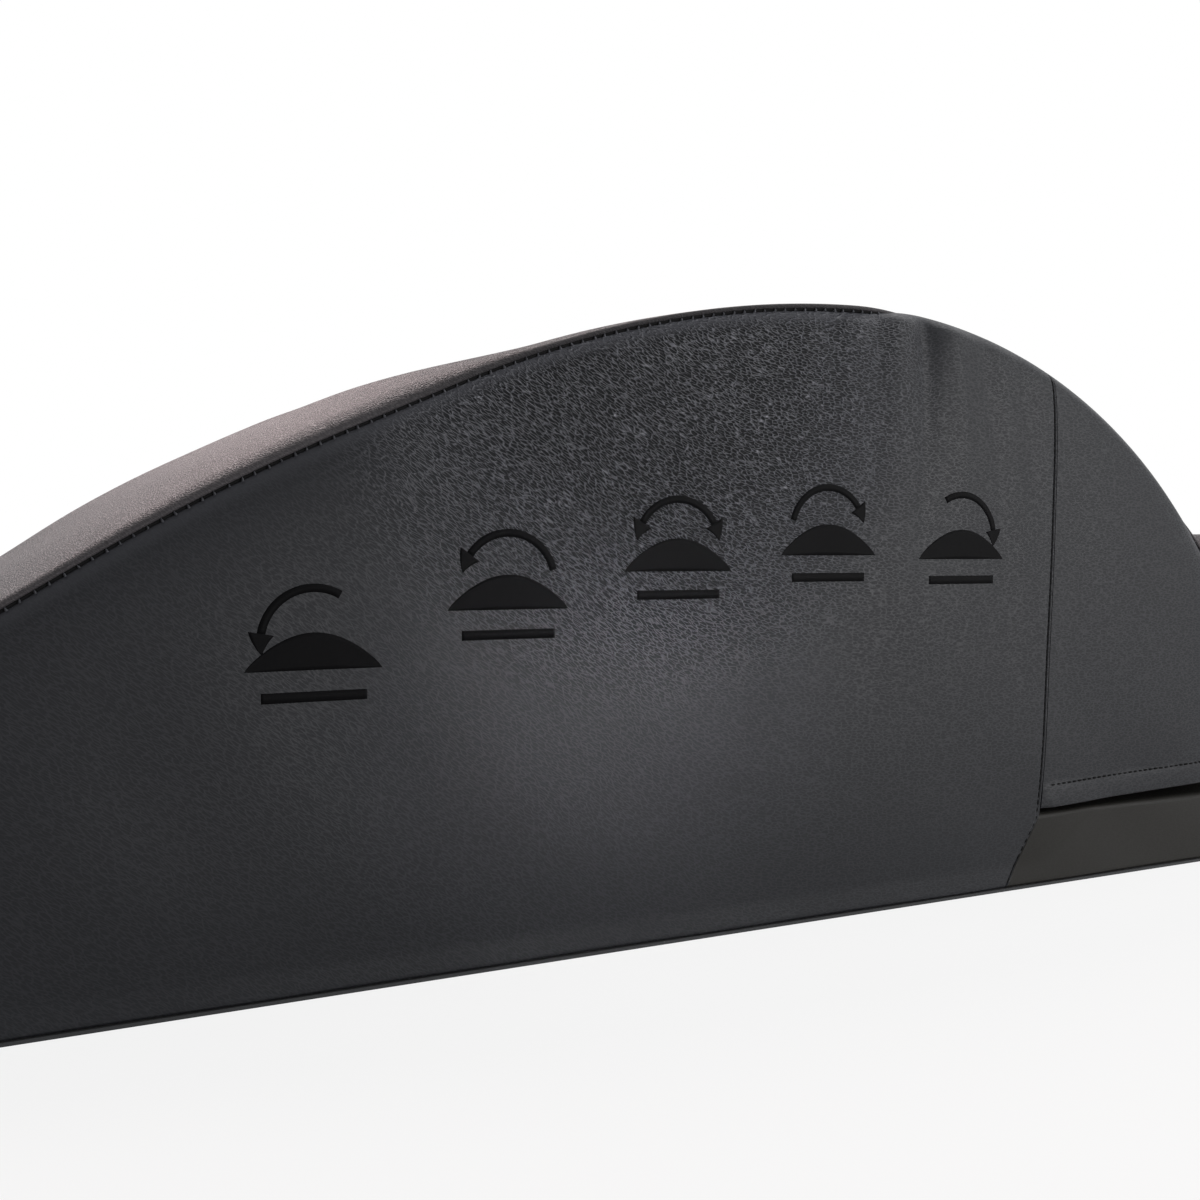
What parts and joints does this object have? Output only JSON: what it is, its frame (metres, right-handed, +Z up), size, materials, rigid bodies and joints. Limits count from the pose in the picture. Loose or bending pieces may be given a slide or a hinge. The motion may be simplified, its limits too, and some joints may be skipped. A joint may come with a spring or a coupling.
{
  "type": "pilates spine corrector",
  "caption": "Free-standing padded body block: long curved barrel, hip well and low step in leatherette over foam on a plywood base, with a hand slot over a grab rail along each side.",
  "frame": {"origin": "on the floor under the middle of the whole length and width", "axes": "+X along the length from the foot of the long slope to the step, +Y across to the far side, +Z up"},
  "size_m": [1.0934, 0.39, 0.306],
  "materials": {
    "leatherette": "satin",
    "slot_lining": "matte",
    "non_slip_sheet": "matte",
    "block_foam": "matte",
    "soft_foam": "matte",
    "plywood": "matte",
    "screw_steel": "satin"
  },
  "bodies": {
    "root": {"base_board": "plywood", "bottom_sheet": "non_slip_sheet", "barrel_core": "block_foam", "step_core": "block_foam", "step_plinth": "block_foam", "barrel_pad": "soft_foam", "step_pad": "soft_foam", "barrel_top_cover": "leatherette", "step_top_cover": "leatherette", "barrel_side_near": "leatherette", "step_side_near": "leatherette", "rail_cover_near": "leatherette", "grab_rail_near": "plywood", "slot_lining_near": "slot_lining", "rail_screw_near_1": "screw_steel", "rail_screw_near_2": "screw_steel", "rail_screw_near_3": "screw_steel", "barrel_side_far": "leatherette", "step_side_far": "leatherette", "rail_cover_far": "leatherette", "grab_rail_far": "plywood", "slot_lining_far": "slot_lining", "rail_screw_far_1": "screw_steel", "rail_screw_far_2": "screw_steel", "rail_screw_far_3": "screw_steel"}
  },
  "joints": []
}
